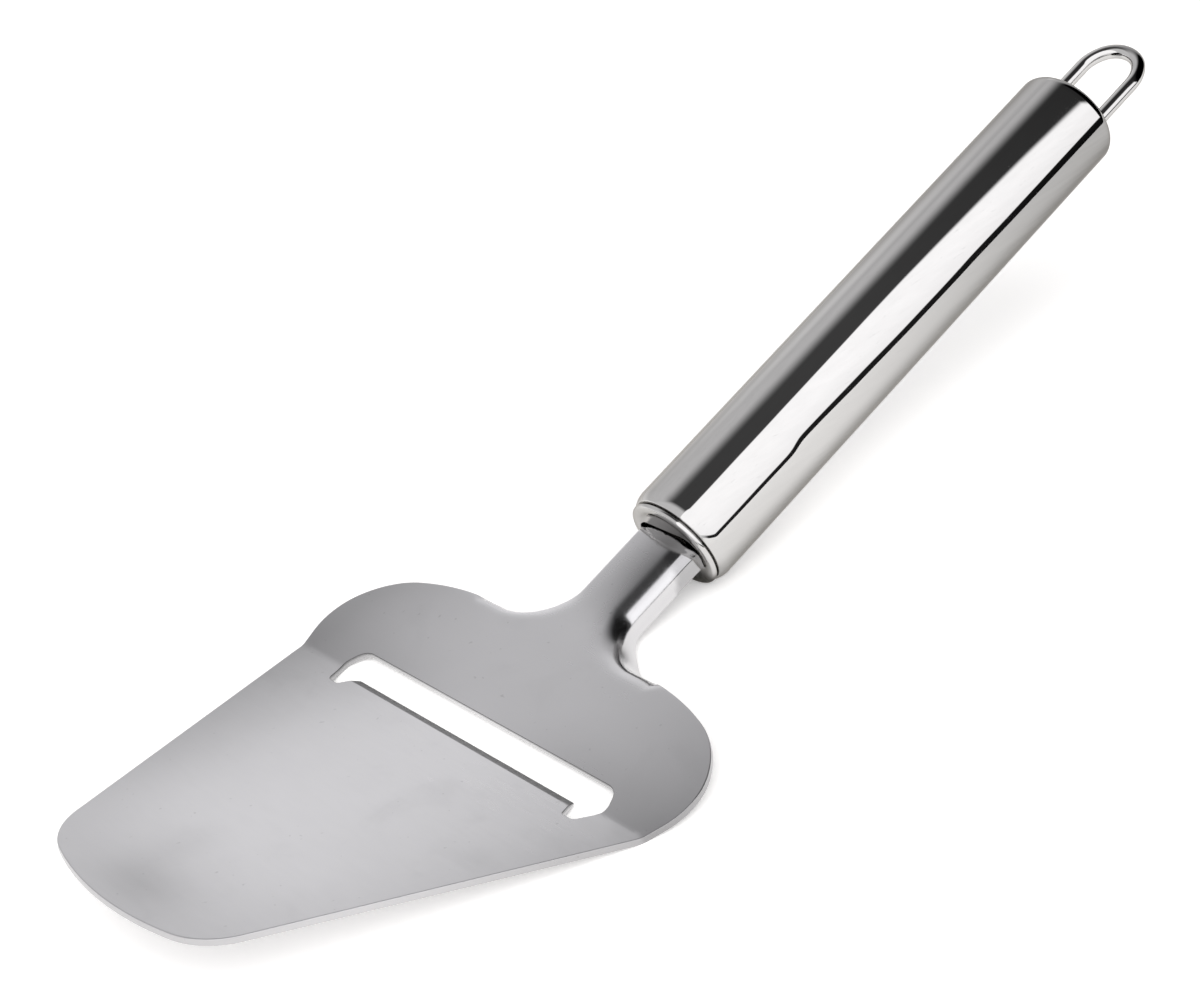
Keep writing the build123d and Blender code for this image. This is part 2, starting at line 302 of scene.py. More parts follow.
class Nodes:
    """A node tree that is filled through one method."""

    def __init__(self, tree):
        self.tree = tree
        tree.nodes.clear()

    def add(self, kind, settings=None, inputs=None):
        """A new node of this type, its settings first and then its sockets' values or links."""
        node = self.tree.nodes.new(kind)
        for name, value in (settings or {}).items():
            setattr(node, name, value)
        for name, value in (inputs or {}).items():
            socket = node.inputs[name]
            if isinstance(value, Value):
                self.tree.links.new(value.socket, socket)
            elif isinstance(value, bpy.types.NodeSocket):
                self.tree.links.new(value, socket)
            else:
                socket.default_value = value
        return node

    def number(self, node, output):
        """The number that leaves a node by this output."""
        return Value(self, node.outputs[output])

    def attribute(self, name):
        """The value that the mesh holds under this name."""
        return self.number(self.add("ShaderNodeAttribute", {"attribute_name": name}), "Fac")

    def stretched(self, source, scale):
        """A vector multiplied by a scale for each axis."""
        node = self.add("ShaderNodeVectorMath", {"operation": "MULTIPLY"}, {0: source, 1: scale})
        return node.outputs["Vector"]

    def noise(self, vector, scale, detail=3.0, roughness=0.5, distortion=0.0):
        """Smooth noise from about nothing to all."""
        inputs = {
            "Vector": vector, "Scale": scale, "Detail": detail,
            "Roughness": roughness, "Distortion": distortion,
        }
        return self.number(self.add("ShaderNodeTexNoise", None, inputs), "Fac")

    def mixed(self, factor, first, second):
        """A colour between two colours."""
        inputs = {MIX_FACTOR: factor, MIX_FIRST: opaque(first), MIX_SECOND: opaque(second)}
        return self.add("ShaderNodeMix", {"data_type": "RGBA"}, inputs).outputs[MIX_COLOUR]

    def bumped(self, height, distance, strength=1.0, normal=None):
        """A normal that is tilted by a height."""
        inputs = {"Height": height, "Distance": distance, "Strength": strength}
        if normal is not None:
            inputs["Normal"] = normal
        return self.add("ShaderNodeBump", None, inputs).outputs["Normal"]

    def metal(self, base, roughness, normal, rim_tint=(1, 1, 1)):
        """The metal's shader and the material's output."""
        shader = self.add("ShaderNodeBsdfPrincipled", None, {
            "Base Color": base, "Metallic": 1.0, "Roughness": roughness, "Normal": normal,
            "Specular Tint": opaque(rim_tint),
        })
        self.add("ShaderNodeOutputMaterial", None, {"Surface": shader.outputs[0]})


def new_material(name):
    """An empty material and the nodes in it."""
    material = bpy.data.materials.new(name)
    material.use_nodes = True
    return material, Nodes(material.node_tree)


SATIN = "brushed_sheet"
POLISHED = "mirror_polish"
WELD = "weld_metal"


def satin_steel(finishes):
    """Satin sheet: fine brushed grain and soft smudges, smoother on the flanges and beside the cap, with
    painted shade and highlight from the tone attribute and painted shade on the ground bands.
    """
    material, nodes = new_material(SATIN)
    place = nodes.add("ShaderNodeTexCoord").outputs["Object"]
    polish, ground, buffed = (nodes.attribute(name) for name in ("polish", "ground", "buffed"))

    grain = nodes.noise(nodes.stretched(place, (1800, 160, 1800)), 1, detail=2)
    clouds = nodes.noise(place, 22, roughness=0.55)
    smudges = nodes.noise(place, 60, detail=4, roughness=0.6, distortion=0.6).rise(0.55, 0.72)
    specks = nodes.noise(place, 900, detail=1).rise(0.74, 0.8)

    light = 0.85 + clouds * 0.22 - smudges * 0.02 - specks * 0.14
    # Painted shade and highlight from the tone attribute, and painted shade on the ground bands
    light = light * nodes.attribute("tone") * (1 - ground * 0.7)
    base = nodes.mixed(light, BLACK, finishes.satin)

    rough = finishes.satin_roughness + (clouds - 0.5) * 0.12 + smudges * 0.03 + (grain - 0.5) * 0.08
    rough = rough * (1 - polish * 0.3) * (1 - buffed * 0.45) + ground * 0.05
    normal = nodes.bumped(clouds, 0.25 * MM, 0.5)
    normal = nodes.bumped(grain, 0.004 * MM, 0.6, normal)
    nodes.metal(base, rough, normal)
    return material


def polished_steel(finishes):
    """Mirror polish with faint waves, a few hairline scratches, rubbed patches that are less glossy, and
    painted shade where the mesh marks it.
    """
    material, nodes = new_material(POLISHED)
    place = nodes.add("ShaderNodeTexCoord").outputs["Object"]
    waves = nodes.noise(nodes.stretched(place, (18, 60, 60)), 1, detail=2)
    rubs = nodes.noise(nodes.stretched(place, (30, 120, 120)), 1, detail=4, roughness=0.6).rise(0.5, 0.8)
    hairs = nodes.noise(nodes.stretched(place, (90, 2400, 2400)), 1).rise(0.66, 0.74)
    streaks = nodes.noise(nodes.stretched(place, (10, 1100, 1100)), 1, detail=2)

    light = 0.9 + streaks * 0.08 + rubs * 0.03 - hairs * 0.06
    # Painted shade: the mesh's mark darkens the polish's colour
    light = light * (1 - nodes.attribute("painted_shade") * (0.8 + streaks * 0.4))
    base = nodes.mixed(light, BLACK, finishes.polished)
    rough = finishes.polished_roughness + rubs * 0.03 + hairs * 0.05
    nodes.metal(base, rough, nodes.bumped(waves, 0.25 * MM, 0.35), finishes.polished_rim)
    return material


def weld_steel(finishes):
    """Dull weld metal with ripples."""
    material, nodes = new_material(WELD)
    place = nodes.add("ShaderNodeTexCoord").outputs["Object"]
    ripples = nodes.noise(place, 1500, detail=2)
    base = nodes.mixed(nodes.noise(place, 300), finishes.weld, finishes.weld_stain)
    rough = finishes.weld_roughness + (ripples - 0.5) * 0.2
    nodes.metal(base, rough, nodes.bumped(ripples, 0.2 * MM))
    return material


def material_of(name, scene):
    """The material of this name, made the first time that it is asked for."""
    makers = {SATIN: satin_steel, POLISHED: polished_steel, WELD: weld_steel}
    return bpy.data.materials.get(name) or makers[name](scene.slicer_finishes)


# Meshes
def sweep_through(start, end, steps):
    """Evenly spaced numbers from start to end, both included."""
    return [start + (end - start) * step / steps for step in range(steps + 1)]


def eased(share_done):
    """A smooth step from nothing to all."""
    clipped = min(1, max(0, share_done))
    return clipped * clipped * (3 - 2 * clipped)


class Pen:
    """Draws an outline in plan: straight lines and arcs, each from where the last one ended."""

    spacing = 0.8 * MM
    least_radius = 1.5 * MM

    def __init__(self, place, heading):
        self.place = Vector(place)
        self.heading = heading
        self.points = [self.place.copy()]

    def ahead(self, distance, spacing=None):
        """A straight line of this length."""
        steps = max(1, round(distance / (spacing or self.spacing)))
        direction = Vector((cos(self.heading), sin(self.heading)))
        start = self.place.copy()
        for step in range(1, steps + 1):
            self.points.append(start + direction * distance * step / steps)
        self.place = self.points[-1].copy()
        return self

    def bend(self, radius, turn):
        """An arc of this radius, to the left where the turn is positive."""
        side = 1 if turn > 0 else -1
        centre = self.place + Vector((-sin(self.heading), cos(self.heading))) * radius * side
        steps = max(3, round(abs(turn) * max(radius, self.least_radius) / self.spacing))
        arm = self.place - centre
        for step in range(1, steps + 1):
            self.points.append(centre + Matrix.Rotation(turn * step / steps, 2) @ arm)
        self.place = self.points[-1].copy()
        self.heading += turn
        return self


def corner_round(before, corner, after, radius, spacing):
    """Points of an arc that rounds a corner between two neighbours."""
    if radius == 0:
        return [corner]
    back, on = (before - corner).normalized(), (after - corner).normalized()
    half = back.angle(on) / 2
    centre = corner + (back + on).normalized() * radius / sin(half)
    reach = radius / tan(half)
    start, end = corner + back * reach - centre, corner + on * reach - centre
    turn = start.angle_signed(end)
    steps = max(3, round(radius * abs(turn) / spacing))
    return [centre + Matrix.Rotation(-turn * step / steps, 2) @ start for step in range(steps + 1)]


def rounded_path(corners, radii, spacing):
    """Points of an open path whose corners are rounded, with its long stretches divided."""
    points = [corners[0]]
    for index in range(1, len(corners) - 1):
        points += corner_round(*corners[index - 1:index + 2], radii[index], spacing / 3)
    points.append(corners[-1])
    return divided(points, spacing) + points[-1:]


def rounded_outline(corners, radii, spacing):
    """Points of a closed outline whose corners are rounded, with its long stretches divided."""
    points = []
    following = corners[1:] + corners[:1]
    for index, (corner, after, radius) in enumerate(zip(corners, following, radii)):
        points += corner_round(corners[index - 1], corner, after, radius, spacing / 3)
    return divided(points + points[:1], spacing)


def divided(path, spacing):
    """The path without its last point, with long stretches divided."""
    points = []
    for start, end in zip(path, path[1:]):
        steps = max(1, round((end - start).length / spacing))
        points += [start.lerp(end, step / steps) for step in range(steps)]
    return points


def area_normals(mesh):
    """Normals at the vertices, in which the larger faces count for more."""
    totals = [Vector() for _ in mesh.vertices]
    for polygon in mesh.polygons:
        for index in polygon.vertices:
            totals[index] += polygon.normal * polygon.area
    return [total.normalized() for total in totals]


def smooth_mesh(name, vertices, faces, fixed_normals=None):
    """A smooth mesh whose normals follow its larger faces, apart from those that are given."""
    mesh = bpy.data.meshes.new(name)
    mesh.from_pydata(vertices, [], faces)
    mesh.shade_smooth()
    normals = area_normals(mesh)
    for index, normal in (fixed_normals or {}).items():
        normals[index] = normal
    mesh.normals_split_custom_set_from_vertices(normals)
    return mesh


INSIDE_WITH_HOLES = 2
SAME_PLACE = 1e-7


def without_repeats(rim, flat):
    """The rim without a point that stands where the one before it does."""
    return [
        index for index in rim
        if index == rim[0] or (flat[index] - flat[index - 1]).length > SAME_PLACE
    ]


def clear_of(point, others, distance):
    """Whether a point keeps this distance from all the others."""
    return all(abs(o.x - point.x) > distance or abs(o.y - point.y) > distance for o in others)


class Sheet:
    """A pressed sheet: a domain in plan, lifted on to a surface, whose rims follow cross-sections."""

    def __init__(self, surface, normal, thickness, grind=None):
        self.surface = surface
        self.normal = normal
        self.thickness = thickness
        self.grind = grind or (lambda point: (0.0,) * 4)
        self.places = []
        self.faces = []
        self.fixed_normals = {}
        self.marks = {"polish": {}, "ground": {}}

    def thickness_at(self, point):
        """What the grind leaves of the sheet at a place."""
        top_cut, _, low_cut, _ = self.grind(point)
        return self.thickness - top_cut - low_cut

    def vertex(self, place):
        """The number of a new vertex."""
        self.places.append(place)
        return len(self.places) - 1

    def edge_frames(self, loop):
        """Outward and upward directions at each point of a plan loop that runs round the sheet."""
        solid = [self.surface(point) for point in loop]
        frames = []
        for index, point in enumerate(loop):
            run = solid[(index + 1) % len(loop)] - solid[index - 1]
            up = self.normal(point)
            frames.append((run.cross(up).normalized(), up))
        return frames

    def build(self, loops, inner_points, rim_frames=None):
        """Fills the domain on both faces and runs the sections round each loop."""
        flat, rims = [], []
        for domain, _ in loops:
            rims.append(range(len(flat), len(flat) + len(domain)))
            flat += [Vector(point) for point in domain]
        rim_points = list(flat)
        clearance = 0.45 * Pen.spacing
        flat += [point for point in inner_points if clear_of(point, rim_points, clearance)]
        outlines = [without_repeats(rim, flat) for rim in rims]
        outlines = outlines[:1] + [outline[::-1] for outline in outlines[1:]]
        made = delaunay_2d_cdt(flat, [], outlines, INSIDE_WITH_HOLES, SAME_PLACE / 10)
        points, _, triangles, sources = made[:4]
        top, bottom = self.fill(points, triangles)
        place_of = {source: index for index in top for source in sources[index]}
        for (domain, sections), rim in zip(loops, rims):
            frames = rim_frames if rim_frames and rim is rims[0] else self.edge_frames(domain)
            rows = []
            for number, frame_here, section in zip(rim, frames, sections):
                index = place_of[number]
                rows.append(self.row(top[index], bottom[index], frame_here, section))
            self.join(rows)

    def fill(self, points, triangles):
        """Both faces over the domain, with a vertex on each for every point that a triangle uses."""
        top, bottom = {}, {}
        for index in sorted({corner for triangle in triangles for corner in triangle}):
            point = points[index]
            up = self.normal(point)
            ahead = Vector((up.z, 0, -up.x))
            place = self.surface(point)
            top_cut, top_slope, low_cut, low_slope = self.grind(point)
            top[index] = self.vertex(place - up * top_cut)
            bottom[index] = self.vertex(place - up * (self.thickness - low_cut))
            self.fixed_normals[top[index]] = (up + ahead * top_slope).normalized()
            self.fixed_normals[bottom[index]] = (ahead * low_slope - up).normalized()
            # Ground faces get painted shade in the satin: their colour is darkened
            self.marks["ground"][top[index]] = 1.0 if top_slope else 0.0
            self.marks["ground"][bottom[index]] = 1.0 if low_slope else 0.0
        for triangle in triangles:
            a, b, c = (points[corner] for corner in triangle)
            corners = triangle if (b - a).cross(c - a) > 0 else triangle[::-1]
            self.faces.append([top[corner] for corner in corners])
            self.faces.append([bottom[corner] for corner in corners[::-1]])
        return top, bottom

    def row(self, top, bottom, directions, section):
        """Vertices of one section, from the top face's vertex to the bottom face's."""
        outward, up = directions
        origin = self.places[top]
        row = [top]
        for out, rise, polish, ground in section[1:-1]:
            made = self.vertex(origin + outward * out + up * rise)
            self.marks["polish"][made] = polish
            self.marks["ground"][made] = ground
            row.append(made)
        self.marks["polish"][top] = section[0][2]
        return row + [bottom]

    def join(self, rows):
        """Faces from each row to the next, or a single face where both start at the same vertex."""
        for row, following in zip(rows, rows[1:] + rows[:1]):
            if row[0] == following[0]:
                self.faces.append(row + following[-2:0:-1])
                continue
            for step in range(len(row) - 1):
                self.faces.append([row[step], row[step + 1], following[step + 1], following[step]])

    def finished(self, name, place, tones=None):
        """The sheet as an object in the row's frame."""
        turn = place.to_3x3()
        normals = {index: turn @ normal for index, normal in self.fixed_normals.items()}
        mesh = smooth_mesh(name, [place @ vertex for vertex in self.places], self.faces, normals)
        for label, values in self.marks.items():
            attribute = mesh.attributes.new(label, "FLOAT", "POINT")
            for index, value in values.items():
                attribute.data[index].value = value
        for label, tone in (tones or {}).items():
            attribute = mesh.attributes.new(label, "FLOAT", "POINT")
            for index, spot in enumerate(self.places):
                attribute.data[index].value = tone(spot)
        return shown(name, mesh)


def shown(name, mesh):
    """A new object for a mesh, linked into the scene."""
    piece = bpy.data.objects.new(name, mesh)
    bpy.context.scene.collection.objects.link(piece)
    return piece


def lathed(name, profile, place, dent, painted_shade_at, segments=240):
    """A closed shell turned about the Z axis, from a closed profile of radius and length, with dents and
    a painted shade mark.
    """
    vertices, faces, marks = [], [], []
    count = len(profile)
    for segment in range(segments):
        around = 2 * pi * segment / segments
        for radius, along in profile:
            pressed = radius - dent(around, along)
            vertices.append(place @ Vector((pressed * cos(around), pressed * sin(around), along)))
            marks.append(painted_shade_at(around, along))
    for segment in range(segments):
        following = (segment + 1) % segments
        for step in range(count):
            after = (step + 1) % count
            faces.append([
                segment * count + step,
                following * count + step,
                following * count + after,
                segment * count + after,
            ])
    mesh = smooth_mesh(name, vertices, faces)
    # Painted shade, which darkens the polish's colour
    attribute = mesh.attributes.new("painted_shade", "FLOAT", "POINT")
    attribute.data.foreach_set("value", marks)
    return shown(name, mesh)


def arc_points(centre, radius, start, end, steps):
    """Points on an arc in a profile, from one angle to another."""
    return [
        (centre[0] + radius * cos(turn), centre[1] + radius * sin(turn))
        for turn in sweep_through(start, end, steps)
    ]


def dress(piece, finish, node):
    """Gives a piece its finish, hangs it under the root and hides the node that it stands for."""
    piece.data.materials.append(material_of(finish, bpy.context.scene))
    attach(piece, "root")
    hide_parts(node)


# Frames
def blade_place(blade):
    """From the blade's frame to the row's: the front plate's mount gives the tilt, its box the place."""
    mounts = {mount["name"]: mount for mount in frame["record"]["mounts"]}
    down = mounts["sliding_face"]["axis"]
    tilt = atan2(-down[0], -down[2])
    low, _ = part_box("blade")
    shift_x = low.x + blade.front_length * cos(tilt) + blade.sheet * sin(tilt)
    outer = blade.crease_radius + blade.sheet
    lean = tan(blade.rear_angle / 2) * sin(tilt) + cos(tilt)
    shift_z = outer - blade.crease_radius * lean
    return Matrix.Translation((shift_x, 0, shift_z)) @ Matrix.Rotation(tilt, 4, "Y")


def handle_place(blade, handle):
    """From the handle's frame to the row's: Z runs along the handle from the tube's mouth."""
    rise = blade.handle_angle
    along = Vector((cos(rise), 0, sin(rise)))
    up = Vector((-sin(rise), 0, cos(rise)))
    neck_bend = Vector((cos(blade.rear_angle), 0, sin(blade.rear_angle))) * blade.rear_run
    mouth = neck_bend + along * blade.neck_run - up * handle.tang_rise
    columns = Matrix((Vector((0, 1, 0)), up, along)).transposed().to_4x4()
    return blade_place(blade) @ Matrix.Translation(mouth) @ columns


class BentFace:
    """The blade's top face: three planes with rounded bends, and the dip of the tang at the cap."""

    def __init__(self, blade, neck):
        self.blade = blade
        self.neck = neck
        self.slopes = [0.0, blade.rear_angle, blade.handle_angle]
        neck_x = blade.rear_run * cos(blade.rear_angle)
        neck_z = blade.rear_run * sin(blade.rear_angle)
        self.bends = [(0.0, 0.0), (neck_x, neck_z)]
        self.radii = [blade.crease_radius, blade.neck_bend_radius]
        self.mouth_x = neck_x + blade.neck_run * cos(blade.handle_angle)

    def height_and_slope(self, x):
        """Height and slope of the face at a place along the blade."""
        height, slope = 0.0, 0.0
        for number, ((bend_x, bend_z), radius) in enumerate(zip(self.bends, self.radii)):
            before, after = self.slopes[number], self.slopes[number + 1]
            reach = radius * tan((after - before) / 2)
            start = bend_x - reach * cos(before)
            end = bend_x + reach * cos(after)
            if x >= end:
                height = bend_z + (x - bend_x) * tan(after)
                slope = after
            elif x > start:
                centre_x = start - radius * sin(before)
                centre_z = bend_z - reach * sin(before) + radius * cos(before)
                height = centre_z - sqrt(radius * radius - (x - centre_x) ** 2)
                slope = asin((x - centre_x) / radius)
        return height, slope

    def dip(self, point):
        """How deep the tang dips at a place, and its slope there. It dips later on the far side."""
        neck = self.neck
        across = min(1, max(0, (point.y / neck.half_width + 1) / 1.8))
        before = neck.dip_start - neck.dip_skew * across**3
        start = self.mouth_x - before * cos(self.blade.handle_angle)
        run = before - neck.dip_end
        slope = neck.dip_depth / (neck.dip_start - neck.dip_end)
        past = min(point.x - start, run)
        soft = 0.15 * MM
        if past <= 0:
            return 0.0, 0.0
        if past < soft:
            return slope * past * past / soft / 2, slope * past / soft
        return slope * (past - soft / 2), slope if past < run else 0.0

    def place(self, point):
        """The point of the top face over a point in plan."""
        height, slope = self.height_and_slope(point.x)
        drop, _ = self.dip(point)
        return Vector((point.x, point.y, height - drop / cos(slope)))

    def undipped_normal(self, point):
        """Upward direction of the face as it would be without the dip."""
        _, slope = self.height_and_slope(point.x)
        return Vector((-sin(slope), 0, cos(slope)))

    def normal(self, point):
        """Upward direction of the face."""
        _, slope = self.height_and_slope(point.x)
        _, dip_slope = self.dip(point)
        lean = slope - atan(dip_slope)
        return Vector((-sin(lean), 0, cos(lean)))


# The blade
def corner_place(blade):
    """Where the straight side would meet the tip's arc."""
    arc = blade.tip_arc_radius
    return -blade.front_length + arc - sqrt(arc**2 - blade.tip_half_width**2)


def tip_turns(blade, side_angle):
    """How far the tip's front edge turns before its corner, and where the straight side starts."""
    corner = Vector((corner_place(blade), blade.tip_half_width))
    side = Vector((cos(side_angle), sin(side_angle)))
    inward = Vector((sin(side_angle), -cos(side_angle)))
    centre = Vector((blade.tip_arc_radius - blade.front_length, 0))
    offset = corner + inward * blade.tip_corner_radius - centre
    reach = blade.tip_arc_radius - blade.tip_corner_radius
    middle = offset.dot(side)
    run = -middle - sqrt(middle**2 - offset.length_squared + reach**2)
    round_centre = offset + side * run
    return atan2(round_centre.y, -round_centre.x), corner + side * run


def half_outline(blade, neck, half_width):
    """Plan points from the tip's middle round one lobe to the end of the tang."""
    side_angle = atan((blade.crease_half_width - blade.tip_half_width) / -corner_place(blade))
    tip_turn, side_start = tip_turns(blade, side_angle)
    pen = Pen((-blade.front_length, 0), pi / 2)
    pen.bend(blade.tip_arc_radius, -tip_turn)
    pen.bend(blade.tip_corner_radius, -(pi / 2 - tip_turn - side_angle))
    pen.ahead((blade.lobe_start - side_start.x) / cos(side_angle))
    pen.bend(blade.lobe_side_radius, -(side_angle + blade.lobe_side_end))
    pen.bend(blade.lobe_shoulder_radius, blade.lobe_side_end - blade.lobe_shoulder_end)
    pen.bend(blade.lobe_back_radius, blade.lobe_shoulder_end - pi / 2)
    pen.ahead(pen.place.y - half_width - neck.fillet_radius)
    rear_x = pen.place.x
    straight = len(pen.points)
    pen.bend(neck.fillet_radius, pi / 2)
    for point in pen.points[straight:]:
        point.x = rear_x + (point.x - rear_x) * cos(blade.rear_angle)
    pen.place = pen.points[-1].copy()
    tang = blade.rear_run * cos(blade.rear_angle) + (
        blade.neck_run + blade.tang_inside
    ) * cos(blade.handle_angle)
    pen.ahead(tang - pen.place.x)
    return pen.points


CUT_POLISH = 0.3


def plain_section(inset, sheet, edge, ground=0.0):
    """A sheet's square edge with rounded corners, from the top face to the bottom face."""
    flat = inset - edge
    turns = sweep_through(0, pi / 2, 4)[:-1]
    corner = [(flat + edge * sin(turn), -edge * (1 - cos(turn))) for turn in turns]
    section = [(flat * step / 3, 0, 0, 0) for step in range(3)]
    section += [(out, rise, CUT_POLISH, ground) for out, rise in corner]
    section.append((inset, -sheet / 2, CUT_POLISH, 0))
    section += [(out, -sheet - rise, CUT_POLISH, 0) for out, rise in reversed(corner)]
    section += [(flat * step / 3, -sheet, 0, 0) for step in (2, 1, 0)]
    return section


def cut_section(sheet, count):
    """A sheet's edge cut off square, straight down from the top face to the bottom face."""
    return [(0, -sheet * step / (count - 1), 0, 0) for step in range(count)]


# The three bends of the gentle roll before a fold, as shares of its width and of its turn
CROWN_PARTS = ((0.5, 0.27), (0.3, 0.39), (0.2, 0.34))

# Steps in the roll's three bends, in the fold and in the flange
BEND_STEPS = (5, 4, 3, 10, 4)


class Fold:
    """The side view of a folded rim: bends one after another, each a developed length and a turn."""

    def __init__(self, bends):
        self.bends = bends
        self.whole = sum(span for span, _ in bends)

    def slope(self, done):
        """How far the sheet has turned down at this developed length."""
        total, start = 0.0, 0.0
        for span, turn in self.bends:
            total += turn * min(1, max(0, (done - start) / span))
            start += span
        return total

    def track(self, share_kept=1.0):
        """Place, slope and developed length at each step, for a sheet that is cut short."""
        spot, done = Vector((0, 0)), 0.0
        found = [(spot, 0.0, 0.0)]
        for (span, _), steps in zip(self.bends, BEND_STEPS):
            for _ in range(steps):
                bit = span * share_kept / steps / 4
                for _ in range(4):
                    middle = self.slope(done + bit / 2)
                    spot = spot + Vector((cos(middle), -sin(middle))) * bit
                    done += bit
                found.append((spot, self.slope(done), done))
        return found


class BladeRim:
    """Where the sheet's flat domain ends on one side, and which section each point of the outline has."""

    least_crown = 0.1
    least_flange = 0.3 * MM
    lobe_run = 1.3 * MM
    slack = 0.015 * MM

    def __init__(self, blade, neck, outline, near):
        self.blade = blade
        self.neck = neck
        self.rear_x = max(point.x for point in outline if abs(point.y) > neck.flange_start)
        self.half_width = neck.near_half_width if near else neck.half_width
        self.depth = neck.near_flange_depth if near else neck.flange_depth
        self.fold_radius = neck.near_fold_radius if near else neck.fold_radius
        self.crown_run = neck.near_crown_run if near else neck.crown_run
        self.crown_turn = neck.near_crown_turn if near else neck.crown_turn

    def along_rear(self, point, start, full):
        """None on the lobe before the start and all from the full place on, both from the middle."""
        if point.x < self.rear_x - self.half_width:
            return 0.0
        return eased((start - abs(point.y)) / (start - full))

    def lean(self, point):
        """How far a flange leans out from square, which fades from the rear edge to the neck."""
        neck = self.neck
        centre_x = self.rear_x + neck.fillet_radius * cos(self.blade.rear_angle)
        across = (centre_x - point.x) / cos(self.blade.rear_angle)
        beside = self.half_width + neck.fillet_radius - abs(point.y)
        if across <= 0:
            return 0.0
        if beside <= 0:
            return atan(neck.flare_share)
        swing = atan2(beside, across)
        growth = neck.growth_share * (cos(swing) + sin(swing) - 1)
        return atan(neck.flare_share * cos(swing) + growth)

    def crown_share(self, point):
        """How much of the neck's gentle roll there is, from just before the rear edge to the neck."""
        radius = self.neck.fillet_radius
        return eased((point.x - self.rear_x + 0.45 * radius) / radius)

    def flange_depth(self, crown):
        """The flange's depth: one flange is deeper on the neck and a little shallower on the lobe."""
        common = self.neck.flange_depth
        return common + (self.depth - common) * (1.75 * crown - 0.75)

    def at(self, point):
        """Inset of the domain from the outline, and the section, at one point of the outline."""
        neck = self.neck
        edge = self.blade.edge_round
        lean = self.lean(point)
        crown = self.crown_share(point)
        crown_run = self.crown_run * max(crown, self.least_crown)
        crown_turn = self.crown_turn * crown
        fold_radius = neck.fold_radius + (self.fold_radius - neck.fold_radius) * crown
        turn = pi / 2 - lean - crown_turn
        bends = [(crown_run * span, crown_turn * part) for span, part in CROWN_PARTS]
        bends.append((fold_radius * turn, turn))
        folded, _, _ = Fold(bends).track()[-1]
        flange = max(self.least_flange, (self.flange_depth(crown) + folded.y - edge) / cos(lean))
        curl = self.along_rear(point, neck.curl_start, neck.curl_full)
        fold = Fold([(span, part * curl) for span, part in bends] + [(flange, 0.0)])
        depth_share = self.along_rear(point, neck.flange_start, neck.flange_full)
        run = self.lobe_run + (fold.whole - self.lobe_run) * depth_share
        section = folded_section(fold, run / fold.whole, self.blade.sheet, edge, depth_share)
        out, rise = max((out, rise) for out, rise, _, _ in section)
        return out + self.slack + rise * tan(lean) * curl, section


def folded_section(fold, share_kept, sheet, edge, polish):
    """A folded edge, from the top face over the folds, round its cut edge and back below the sheet."""
    track = fold.track(share_kept)
    marked = [(spot, slope, polish * eased(2.2 * done / fold.whole)) for spot, slope, done in track]
    section = [(spot.x, spot.y, shine, 0) for spot, _, shine in marked]
    end, turn, _ = track[-1]
    ahead = Vector((cos(turn), -sin(turn)))
    inward = Vector((-sin(turn), -cos(turn)))
    swings = sweep_through(pi / 6, pi / 2, 2)
    rounding = [(edge * sin(swing), edge * (1 - cos(swing))) for swing in swings]
    rounding += [(on, sheet - across) for on, across in reversed(rounding)]
    for on, across in rounding:
        spot = end + ahead * on + inward * across
        section.append((spot.x, spot.y, polish, 0))
    for spot, slope, shine in reversed(marked):
        inner = spot + Vector((-sin(slope), -cos(slope))) * sheet
        section.append((inner.x, inner.y, 0.5 * shine, 0))
    return section


def slot_corners(slot):
    """Plan corners of the slot and their radii, in order round the sheet's hole."""
    half = [
        (-slot.front, slot.half_length, slot.tongue_round),
        (-slot.front - slot.notch_length, slot.half_length + slot.notch_inner, slot.notch_front_round),
        (-slot.front - slot.notch_length, slot.half_length + slot.notch_outer, slot.notch_back_round),
        (slot.outer_x, slot.half_length + slot.outer, slot.end_round),
        (slot.rear, slot.half_length + slot.rear_corner, slot.rear_round),
    ]
    corners = [(Vector((x, y - slot.shift)), radius) for x, y, radius in half]
    corners += [(Vector((x, -y - slot.shift)), radius) for x, y, radius in reversed(half)]
    return corners


class TongueGrind:
    """What is ground away from both faces of the cutting tongue, at a place in plan."""

    past_edge = 0.5 * MM

    def __init__(self, blade, slot):
        self.slot = slot
        back_drop = blade.sheet - slot.bevel_drop - slot.edge_thickness
        self.top_slope = slot.bevel_drop / slot.bevel_width
        self.back_slope = back_drop / slot.back_width
        self.half = slot.half_length + (slot.notch_inner + slot.notch_outer) / 2

    def __call__(self, point):
        """Depth and slope of the grind on the top face, and on the underside."""
        slot = self.slot
        before_edge = -slot.front - point.x
        if abs(point.y + slot.shift) > self.half or before_edge < -self.past_edge:
            return 0.0, 0.0, 0.0, 0.0
        top = (slot.bevel_width - before_edge) * self.top_slope
        back = (slot.back_width - before_edge) * self.back_slope
        return max(0, top), self.top_slope * (top > 0), max(0, back), self.back_slope * (back > 0)


def offset_inwards(path, outwards, insets):
    """The plan path moved into the sheet by an inset at each point."""
    return [point - outward.xy * inset for point, outward, inset in zip(path, outwards, insets)]


